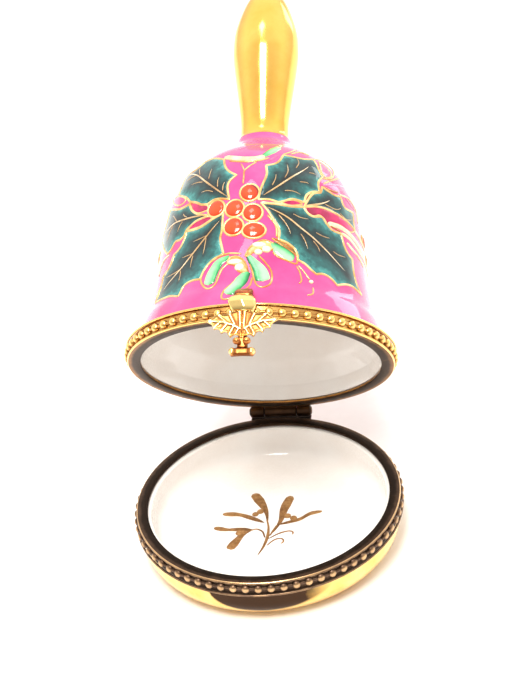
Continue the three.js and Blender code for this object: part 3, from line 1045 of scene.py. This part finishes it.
# Gold lines: width, shade, and the points of each.
GOLD_LINES = [
    (0.42, 0.5, [(-4, 14.4), (-9.5, 14.7), (-14, 14.5), (-18.5, 14), (-22, 12.8), (-24, 11.5), (-24.5, 9.8),
                 (-21.5, 8.1), (-18.5, 7.5), (-16, 8.3), (-14.8, 10), (-13.3, 11.6), (-10, 12.7)]),
    (0.4, 0.4, [(-4.5, 9.5), (-7.5, 8.1), (-10.5, 6.6), (-11.3, 5.2), (-9.5, 4.5), (-5.5, 5.1), (-2, 6.1),
                (1, 7.3), (2, 9.2)]),
    (0.4, 0.4, [(0.5, 12.2), (2, 10.5), (3, 8.9), (4.5, 7.5), (7, 7), (10, 7.6), (11.5, 9), (11, 10.9),
                (8, 12.6), (5, 13.9)]),
    (0.4, 0.4, [(12, 14.7), (15, 13.7), (19, 13.2), (23, 12.7), (24.5, 13), (24.3, 14)]),
    (0.34, 0.15, [(18, 16.8), (20.5, 16.1), (22.5, 15.5)]),
    (0.36, 0.5, [(-5, 29.2), (-5, 31), (-5, 32.2), (-2, 33.4), (2, 34.3)]),
    (0.3, 0.5, [(-5, 32.2), (-6.5, 33.3), (-8, 34.1)]),
    (0.4, 0.5, [(9, 22.4), (12.5, 21), (14, 19.6), (14, 17.9)]),
    (0.4, 0.5, [(-16.5, 35.2), (-5, 34.5), (3.5, 34.7), (10, 35.4)]),
    (0.38, 0.6, [(20.5, 36.8), (26.5, 37.8), (36.5, 39.8)]),
    (0.38, 0.7, [(26.5, 37.2), (36, 38.6), (44, 38.4)]),
    (0.42, 0.6, [(44.5, 37.2), (60, 38.8), (69.5, 38.2), (60.5, 35.1), (53, 33.3), (46, 32.5)]),
    (0.42, 0.5, [(45, 31.2), (54.5, 33.1), (73.5, 36.1)]),
    (0.5, 0.2, [(43.5, 30.5), (49.5, 30.2), (56.5, 30.5)]),
    (0.4, 0.2, [(46.5, 22.3), (54.5, 21.9)]),
    (0.34, 0.4, [(24, 12.2), (25.5, 11), (26, 9.3), (24.5, 8.5)]),
    (0.34, 0.5, [(25, 12.4), (28, 11.1), (30.5, 9.6)]),
    (0.34, 0.5, [(31.5, 8.1), (30.5, 6.6), (27.5, 6)]),
]

# Cream lines: width, shade, and the points of each.
CREAM_LINES = [
    (1.4, 0.7, [(-21.5, 36.6), (-9, 35.5), (1, 35.3), (7, 35.9)]),
    (1.1, 0.8, [(45, 22.7), (52, 22.9), (59.5, 22.7), (69, 21.9), (82, 20.3)]),
    (0.8, 0.8, [(55, 21.7), (62.5, 21.4), (70.5, 20.4), (83, 19.2), (93, 17.7)]),
    (0.7, 0.8, [(59, 20.2), (64.5, 19.4), (71, 18.8), (78, 17.7)]),
    (0.8, 0.75, [(69.5, 24.2), (77.5, 23.2), (88.5, 22.3)]),
    (0.5, 0.7, [(58, 30.2), (69.5, 30.6), (78.5, 29.4), (78, 26.8)]),
    (0.5, 0.7, [(-54, 18.2), (-60.5, 17.9), (-64.5, 16.8), (-66, 15.3)]),
    (0.45, 0.7, [(-48.5, 17.6), (-50.5, 16), (-54, 13.9)]),
    (0.45, 0.7, [(-56, 12.5), (-58.5, 11.4), (-59.5, 9.9)]),
    (0.45, 0.6, [(5.5, 25.1), (14, 24.9), (22, 24.7), (29.5, 25)]),
]

# Strokes of pink enamel: width, shade, and the points of each.
PINK_STROKES = [
    (0.8, 0.3, [(-13.5, 38.6), (-6, 39.8), (4.5, 40)]),
    (0.6, 0.3, [(6, 34.1), (11, 34.9), (16.5, 36.4)]),
    (0.6, 0.1, [(44, 30.8), (55, 32.1), (71.5, 33.5)]),
    (0.9, 0.3, [(63.5, 30.4), (69.5, 29.7), (76, 29.1)]),
]


def sideways(flat, ends):
    """Shade from the left of flat points to the right."""
    across = (flat[:, 0] - flat[:, 0].min()) / np.ptp(flat[:, 0])
    return ends[0] + (ends[1] - ends[0]) * across


def holly_leaf(paints, runs, midrib, veins):
    surface = paints["leaf"].surface
    outline = closed_runs([surface.chart(run) for run in runs], 0.4)
    rib = catmull(surface.chart(midrib), 50)
    side_veins = [catmull(surface.chart(vein), 16) for vein in veins]

    def tone(flat):
        beside_rib = nearest(flat, [rib])
        beside_vein = nearest(flat, side_veins)
        rim = nearest(flat, [loop(outline)])
        dark = 0.24 + 0.56 * np.exp(-beside_rib / 1.1) + 0.36 * np.exp(-beside_vein / 0.55)
        return np.clip(dark - 0.3 * np.exp(-rim / 0.8), 0, 1)

    paints["leaf"].fill(outline, tone)
    paints["line"].line(loop(outline), 0.5, 0.2, closed=True, shade=0.6)
    paints["vein"].line(rib, (0.3, 0.44, 0.34, 0.16), 0.22, shade=(0.3, 0.9))
    for vein in side_veins:
        paints["vein"].line(vein, (0.28, 0.24, 0.1), 0.19, shade=(0.35, 0.6))


def decorate(materials, turn):
    """One spray of holly, berries and mistletoe, turned about the bell's axis."""
    surface = PaintedSurface(BELL_OUTSIDE, turn + SPRAY_AZIMUTH)
    paints = {kind: Paint(surface) for kind in materials}
    for runs, ends in PETALS:
        outline = closed_runs([surface.chart(run) for run in runs], 0.4)
        paints["petal"].fill(outline, lambda flat: sideways(flat, ends), 0.05)
        paints["line"].line(loop(outline), 0.36, 0.16, closed=True, shade=0.6)
    for runs, midrib, veins in HOLLY:
        holly_leaf(paints, runs, midrib, veins)
    for width, shade, points in PINK_STROKES:
        paints["petal"].line(catmull(surface.chart(points), 20), width, 0.1, shade=shade)
    for width, shade, points in GOLD_LINES:
        paints["line"].line(catmull(surface.chart(points), 40), width, 0.18, shade=shade, taper=0.06)
    for width, shade, points in CREAM_LINES:
        paints["vein"].line(catmull(surface.chart(points), 24), width, 0.2, shade=shade, taper=0.06)
    for runs, ends in BODIES:
        outline = closed_runs([surface.chart(run) for run in runs], 0.35)
        paints["pearl"].fill(outline, lambda flat: sideways(flat, ends), 0.1, 0.4)
        paints["line"].line(loop(outline), 0.36, 0.18, closed=True, shade=0.35)
    for points, widths, dark_side in MISTLETOE:
        paints["mint"].blade(catmull(surface.chart(points), 24), widths, dark_side=dark_side)
    for spot, radius, stretch, lean in BERRIES:
        edge = paints["berry"].dome(surface.chart([spot])[0], radius, 0.45, stretch=stretch, lean=lean)
        paints["line"].line(loop(edge), 0.52, 0.24, closed=True, shade=0.6)
    for spot, radius, stretch in PEARLS:
        paints["pearl"].dome(surface.chart([spot])[0], radius, 0.36, (0.0, 0.3), stretch)
    side = "front" if turn == 0 else "back"
    return [
        paint.piece(f"{side}_{kind}_paint", materials[kind], BELL_TO_REST)
        for kind, paint in paints.items()
    ]


# ---------------------------------------------------------------- the dish's sprig, as (x, y)

SPRIG_STROKES = [
    ((0.4, 0.8, 1.5, 2.2, 1.9), [(-1.0, 1.0), (-1.5, 4.0), (-2.7, 6.8), (-4.5, 9.9)]),
    ((0.4, 1.1, 1.3, 1.1, 1.5, 1.1), [(-1.6, 1.0), (-4.5, 2.6), (-6.9, 3.6), (-10.0, 3.8)]),
    ((0.4, 0.8, 1.5, 2.1, 1.8), [(0.3, -2.1), (1.5, 1.5), (1.9, 5.1), (2.9, 8.9)]),
    ((0.4, 0.9, 1.1, 0.9, 1.2, 0.9), [(1.0, 0.3), (3.4, 1.1), (5.3, 1.9), (7.1, 3.4), (9.3, 4.0)]),
    ((0.5, 1.1, 1.5, 2.1, 1.9), [(-3.7, -1.0), (-5.3, -2.2), (-6.4, -4.2), (-7.6, -6.8)]),
    ((0.4, 1.2, 1.2, 0.9, 1.4, 1.2), [(-3.7, -1.0), (-6.4, -0.9), (-8.8, -0.9), (-11.2, -0.3)]),
    ((0.25, 0.6, 0.75, 0.5, 0.35), [(-2.0, -8.8), (-1.1, -6.2), (-0.6, -3.2), (-0.7, -0.3), (-1.3, 2.2)]),
    ((0.35, 0.45, 0.4), [(-1.1, -3.5), (-1.7, -1.7), (-2.9, -0.9), (-4.1, -1.3)]),
    ((0.3, 0.45, 0.35), [(-0.5, -5.9), (0.8, -4.2), (2.2, -3.9), (2.6, -4.8), (2.1, -5.4)]),
    ((0.3, 0.5, 0.35), [(-0.3, -3.8), (1.4, -2.4), (3.1, -1.7), (4.1, -1.9), (4.2, -2.8)]),
    ((0.35, 0.5, 0.5), [(-0.2, -3.0), (0.4, -1.2), (1.0, 0.3)]),
]
SPRIG_DABS = [
    ((-2.7, 4.4), 0.75), ((-3.6, 3.6), 0.7), ((2.7, 2.9), 0.75), ((3.9, 2.2), 0.75),
    ((-6.2, -2.0), 0.75), ((-5.2, -1.8), 0.7),
]


def sprig(material):
    """Gold brush strokes on the dish's floor."""
    paint = Paint(DishFloor())
    for widths, points in SPRIG_STROKES:
        paint.line(catmull(points, 30), widths, 0.1, shade=(0.7, 0.3), taper=0.08)
    for spot, radius in SPRIG_DABS:
        paint.dome(spot, radius, 0.07, (0.2, 0.5), stretch=(1, 1.1))
    return paint.piece("dish_sprig", material, None)


# ---------------------------------------------------------------- the clasp
# Clasp points are (x, height above the mouth), and depths are distances in front of the bell's axis.

CLASP_BACK = 26.05
CLASP_AZIMUTH = 1.4
CLASP_TO_REST = BELL_TO_REST @ Matrix.Rotation(math.radians(CLASP_AZIMUTH), 4, "Z")
HOLLY_BACK = 26.85


def relief(outline, front, back, spacing, rub):
    """Points, faces and levels of wear and painted light of a plate cut to outline, with its front and back
    faces at given depths.
    """
    flat, faces = filled(outline, spacing)
    count, total = len(outline), len(flat)
    points = [(x, -depth, z) for (x, z), depth in zip(flat, front(flat))]
    points += [(x, -depth, z) for (x, z), depth in zip(flat, back(flat))]
    both = list(faces) + [tuple(total + corner for corner in reversed(face)) for face in faces]
    both += [(total + i, total + (i + 1) % count, (i + 1) % count, i) for i in range(count)]
    tones = rub(flat)
    return points, both, list(tones) + [0.15] * total


def rounding(flat, outline, reach, drop):
    """How far a front face is rounded back towards its outline."""
    return drop * np.clip(1 - gap(flat, outline) / reach, 0, 1) ** 2


def clasp_boss(material):
    """A bevelled shield with a raised middle, whose top leans back over the bezel."""
    runs = [
        [(-1.2, 6.2), (-1.6, 5.4), (-1.6, 4.3)],
        [(-2.3, 3.8), (-2.7, 3.2), (-2.5, 2.2), (-1.9, 0.8)],
        [(0, 0.7), (1.9, 0.8)],
        [(2.4, 1.9), (2.2, 3.2), (1.8, 3.9)],
        [(1.6, 4.3), (1.6, 5.4), (1.2, 6.2)],
        [(0, 6.25), (-1.2, 6.2)],
    ]
    outline = closed_runs(runs, 0.16)

    def front(flat):
        heights, depths = [0.7, 1.6, 2.8, 3.7, 4.3, 5.2, 6.2], [27.2, 27.5, 27.6, 27.2, 26.7, 25.7, 24.3]
        level = np.interp(flat[:, 1], heights, depths)
        groove = 0.25 * np.exp(-((flat[:, 1] - 4.15) / 0.16) ** 2)
        facet = 0.22 * np.abs(flat[:, 0] + 0.35 * (flat[:, 1] - 2.4)) * (flat[:, 1] < 4.15)
        return level - groove - facet - rounding(flat, outline, 0.5, 0.35)

    def back(flat):
        return np.interp(flat[:, 1], [0.7, 3.8, 4.5, 6.2], [26.05, 26.05, 25.3, 23.8])

    def rub(flat):
        # Painted light: the top, which leans back, is painted dark as shade, and the shield below it bright
        # as a painted highlight. The groove is darker, and so is the rim towards its edge.
        upper = flat[:, 1] > 4.2
        edge = rounding(flat, outline, 0.5, 0.35)
        groove = 0.7 * np.exp(-((flat[:, 1] - 4.15) / 0.22) ** 2)
        return np.clip(np.where(upper, 0.32, 1.05) - edge - groove, 0, 1)

    points, faces, tones = relief(outline, front, back, 0.2, rub)
    return build("catch_boss", points, faces, material, CLASP_TO_REST, sharp=50, rub=tones)


def clasp_wing(name, side, material):
    """A holly leaf of the clasp, with a raised rim, midrib and side veins."""
    runs = [
        [(0.1, -4.1), (0.05, -2.0), (0.1, 0.9)],
        [(1.4, 0.8), (2.4, 0.3), (3.4, 0.2), (4.6, 0.35)],
        [(5.0, -0.2), (5.7, -0.6), (6.5, -1.0)],
        [(5.8, -1.4), (5.3, -1.8), (5.0, -2.6)],
        [(4.5, -2.5), (4.0, -2.7), (3.7, -3.4)],
        [(3.1, -3.1), (2.6, -3.3), (2.1, -4.2)],
        [(1.5, -3.7), (0.9, -3.7), (0.1, -4.1)],
    ]
    runs = [[(x * side, z) for x, z in run] for run in runs]
    outline = closed_runs(runs, 0.14)
    if side < 0:
        outline = outline[::-1].copy()
    rib = np.array([(0.2 * side, -2.6), (1.8 * side, -1.8), (3.8 * side, -1.2), (6.1 * side, -1.0)])
    ends = [((0.3, -2.4), (0.5, 0.6)), ((1.2, -2.0), (2.2, 0.2)), ((2.8, -1.4), (4.3, 0.1)),
            ((0.6, -2.5), (1.2, -3.7)), ((1.4, -2.0), (2.3, -3.8)), ((2.6, -1.6), (3.8, -3.0)),
            ((3.9, -1.3), (5.0, -2.2))]
    veins = [np.array([(x * side, z) for x, z in pair]) for pair in ends]

    def ridges(flat):
        rim = gap(flat, outline)
        beside = 0.85 * np.exp(-(nearest(flat, veins) / 0.24) ** 2)
        edge = 0.8 * np.exp(-((rim - 0.12) / 0.16) ** 2)
        middle = np.exp(-(nearest(flat, [rib]) / 0.26) ** 2)
        return np.maximum(np.maximum(edge, middle), beside)

    def front(flat):
        bow = 0.16 * np.exp(-((np.abs(flat[:, 0]) - 2.6) / 1.6) ** 2)
        return HOLLY_BACK + 0.2 + bow + 0.24 * ridges(flat) - rounding(flat, outline, 0.16, 0.1)

    def back(flat):
        return np.full(len(flat), HOLLY_BACK)

    def rub(flat):
        inner = np.clip(1 - np.abs(flat[:, 0]) / 2.5, 0, 1)
        return np.clip(0.3 + 0.75 * ridges(flat) - 0.2 * inner, 0, 1)

    points, faces, tones = relief(outline, front, back, 0.15, rub)
    return build(name, points, faces, material, CLASP_TO_REST, sharp=60, rub=tones)


def clasp_tongue(material):
    """A stem with a wide foot, which catches under the dish's edge."""
    runs = [
        [(0.75, 0.5), (0.75, -2.5), (0.95, -5.7)],
        [(1.3, -6.0), (1.7, -5.9), (2.3, -6.2)],
        [(2.35, -6.8), (1.9, -7.4)],
        [(0, -7.3), (-1.9, -7.4)],
        [(-2.35, -6.8), (-2.3, -6.2)],
        [(-1.7, -5.9), (-1.3, -6.0), (-0.95, -5.7)],
        [(-0.75, -2.5), (-0.75, 0.5)],
        [(0, 0.5), (0.75, 0.5)],
    ]
    outline = closed_runs(runs, 0.16)[::-1].copy()

    def front(flat):
        foot = 0.5 * np.clip((-5.8 - flat[:, 1]) / 0.4, 0, 1)
        ends = 0.35 * np.exp(-((np.abs(flat[:, 0]) - 1.7) / 0.45) ** 2) * (flat[:, 1] < -5.6)
        return CLASP_BACK + 0.5 + foot + ends - rounding(flat, outline, 0.3, 0.3)

    def back(flat):
        return np.full(len(flat), CLASP_BACK)

    def rub(flat):
        side = np.clip(np.abs(flat[:, 0]) - 1.2, 0, 0.7)
        return np.clip(0.22 + 0.9 * side - 0.3 * (flat[:, 1] < -7.15), 0, 1)

    points, faces, tones = relief(outline, front, back, 0.18, rub)
    return build("catch_tongue", points, faces, material, CLASP_TO_REST, sharp=50, rub=tones)


def clasp_berry(name, side, material):
    centre = (0.88 * side, -(HOLLY_BACK + 0.3), -4.85)
    points, faces = ball_data(centre, (0.74, 0.74, 0.64), 12, 20)
    # Each berry is painted brighter towards its top, as a painted highlight.
    rub = [0.35 + 0.7 * max(0.0, (z + 5.0)) for _, _, z in points]
    return build(name, points, faces, material, CLASP_TO_REST, rub=rub)


# ---------------------------------------------------------------- the object

brown, bright, shaded_hinge_brass, clasp = dark_brass(), lid_brass(), hinge_brass(), clasp_brass()
pink, white = pink_glaze(), white_glaze()

paint_materials = {
    "leaf": leaf_enamel(), "petal": petal_enamel(), "line": raised_gold(), "vein": vein_cream(),
    "mint": mint_enamel(), "pearl": pearl_enamel(), "berry": berry_enamel(),
}
BASE_LEAF_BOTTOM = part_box("base_hinge_leaf")[0].z / MM
BELL_LEAF_BOTTOM = HINGE.z / MM + BARREL_RADIUS + 0.2

# Body, slot, and pairs of a piece and the node it replaces.
groups = [
    ("base", "gold_lustre_porcelain", [
        (dish([lustre_gold(), white]), "base_dish"),
        (sprig(sprig_gold()), None),
    ]),
    ("base", "antique_brass", [
        # The dish's bezel, beads and wire get lower levels than the lid's: painted shade.
        (bezel("dish_bezel", BASE_RING_INSIDE, RIM, -1, brown, None, (0.08, 0.8, 0.28)), "base_bezel"),
        (bead_wire("dish_beads", RIM, -1, brown, None, (0.22, 0.75)), "base_bead_wire"),
        (edge_wire("dish_edge_wire", RIM, -1, brown, None, (0.3, 0.55)), "base_edge_wire"),
        (hinge_leaf("dish_hinge_leaf", BASE_LEAF_BOTTOM, shaded_hinge_brass), "base_hinge_leaf"),
        (knuckle("left_knuckle", "base_knuckle_left", shaded_hinge_brass), "base_knuckle_left"),
        (knuckle("right_knuckle", "base_knuckle_right", shaded_hinge_brass), "base_knuckle_right"),
        (hinge_pin(shaded_hinge_brass), "hinge_pin"),
    ]),
    ("lid", "pink_glazed_porcelain", [(bell([pink, white]), "bell_shell")]),
    ("lid", "gilded_porcelain", [(handle(handle_gold()), "handle")]),
    ("lid", "antique_brass", [
        # The lid's bezel, beads and wire get a brighter brass and higher levels than the dish's: painted
        # light from above.
        (bezel("mouth_bezel", LID_RING_INSIDE, 0, 1, bright, BELL_TO_REST, (0.1, 1.0, 0.6)), "bell_bezel"),
        (bead_wire("mouth_beads", 0, 1, bright, BELL_TO_REST, (0.35, 1.0)), "bell_bead_wire"),
        (edge_wire("mouth_edge_wire", 0, 1, bright, BELL_TO_REST, (0.5, 1.0)), "bell_edge_wire"),
        (knuckle("middle_knuckle", "bell_knuckle", shaded_hinge_brass), "bell_knuckle"),
        (hinge_leaf("mouth_hinge_leaf", BELL_LEAF_BOTTOM, shaded_hinge_brass, CLOSED_TO_REST), "bell_hinge_leaf"),
    ]),
    ("lid", "polished_brass", [
        (clasp_boss(clasp), "clasp_boss"),
        (clasp_tongue(clasp), "clasp_tongue"),
        (clasp_wing("right_holly", 1, clasp), "clasp_leaf_right"),
        (clasp_wing("left_holly", -1, clasp), "clasp_leaf_left"),
        (clasp_berry("right_berry", 1, clasp), "clasp_berry_right"),
        (clasp_berry("left_berry", -1, clasp), "clasp_berry_left"),
    ]),
    ("lid", "pink_glazed_porcelain", [
        (piece, None) for turn in (0, 180) for piece in decorate(paint_materials, turn)
    ]),
]
for body, slot, pieces in groups:
    for piece, node in pieces:
        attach(piece, body)
        if node:
            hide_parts(node)


# ---------------------------------------------------------------- floor, light and camera

def floor():
    size = 2.0
    corners = [(-size, -size, 0), (size, -size, 0), (size, size, 0), (-size, size, 0)]
    mesh = bpy.data.meshes.new("floor")
    mesh.from_pydata(corners, [], [(0, 1, 2, 3)])
    mesh.materials.append(floor_paper())
    made = bpy.data.objects.new("floor", mesh)
    bpy.context.scene.collection.objects.link(made)


def area_light(name, place, aim, size, power, colour=(1, 1, 1)):
    light = bpy.data.lights.new(name, "AREA")
    light.shape = "RECTANGLE"
    light.size, light.size_y = size
    light.energy = power
    light.color = colour
    made = bpy.data.objects.new(name, light)
    made.location = place
    made.rotation_mode = "QUATERNION"
    made.rotation_quaternion = (Vector(aim) - Vector(place)).to_track_quat("-Z", "Y")
    bpy.context.scene.collection.objects.link(made)


def world():
    """A pale room that is dimmer and warmer in front of the box than behind it, and dimmer low down."""
    made = bpy.data.worlds.new("studio")
    made.use_nodes = True
    tree = made.node_tree
    background = tree.nodes["Background"]
    direction = tree.nodes.new("ShaderNodeTexCoord").outputs["Generated"]
    split = tree.nodes.new("ShaderNodeSeparateXYZ")
    tree.links.new(direction, split.inputs["Vector"])

    def fitted(axis, *numbers):
        made = tree.nodes.new("ShaderNodeMapRange")
        set_range(made, *numbers)
        tree.links.new(split.outputs[axis], made.inputs["Value"])
        return made.outputs["Result"]

    strength = tree.nodes.new("ShaderNodeMath")
    strength.operation = "MULTIPLY"
    tree.links.new(fitted("Y", -0.85, 0.1, 0.5, 1.35), strength.inputs[0])
    tree.links.new(fitted("Z", 0.05, 0.5, 0.72, 1.0), strength.inputs[1])
    tree.links.new(strength.outputs["Value"], background.inputs["Strength"])
    tint = tree.nodes.new("ShaderNodeValToRGB")
    tint.color_ramp.elements[0].color = (1.0, 0.9, 0.8, 1)
    tint.color_ramp.elements[1].color = (1.0, 1.0, 0.98, 1)
    tree.links.new(fitted("Y", -0.8, 0.3, 0, 1), tint.inputs["Fac"])
    tree.links.new(tint.outputs["Color"], background.inputs["Color"])
    bpy.context.scene.world = made


def camera():
    """Looks at the box from above its front, turned a little to the right and rolled. The angles,
    aim and lens come from a camera solve on the photo's two rims, hinge and outline."""
    azimuth, elevation, roll = math.radians(9.9), math.radians(34.0), math.radians(-7.63)
    aim, distance = Vector((-0.14, 16.07, 32.51)) * MM, 0.4
    back = Vector((
        math.sin(azimuth) * math.cos(elevation),
        -math.cos(azimuth) * math.cos(elevation),
        math.sin(elevation),
    ))
    data = bpy.data.cameras.new("camera")
    data.sensor_width = 36
    data.lens = 108.55
    data.clip_start, data.clip_end = 0.01, 20
    made = bpy.data.objects.new("camera", data)
    made.location = aim + back * distance
    made.rotation_mode = "QUATERNION"
    level = (-back).to_track_quat("-Z", "Y")
    made.rotation_quaternion = level @ Matrix.Rotation(roll, 3, "Z").to_quaternion()
    bpy.context.scene.collection.objects.link(made)
    bpy.context.scene.camera = made


floor()
world()
LIGHT_AIM = (0, 0.01, 0.03)
area_light("key", (-0.04, -0.36, 0.9), LIGHT_AIM, (0.3, 0.42), 9.0, (1, 0.98, 0.95))
area_light("overhead", (-0.1, 0.12, 0.95), LIGHT_AIM, (0.2, 0.2), 0.7)
area_light("window", (0.55, 0.8, 0.16), LIGHT_AIM, (0.2, 0.4), 0.8)
camera()

view = bpy.context.scene.view_settings
view.view_transform = "Standard"
view.exposure = 0.0
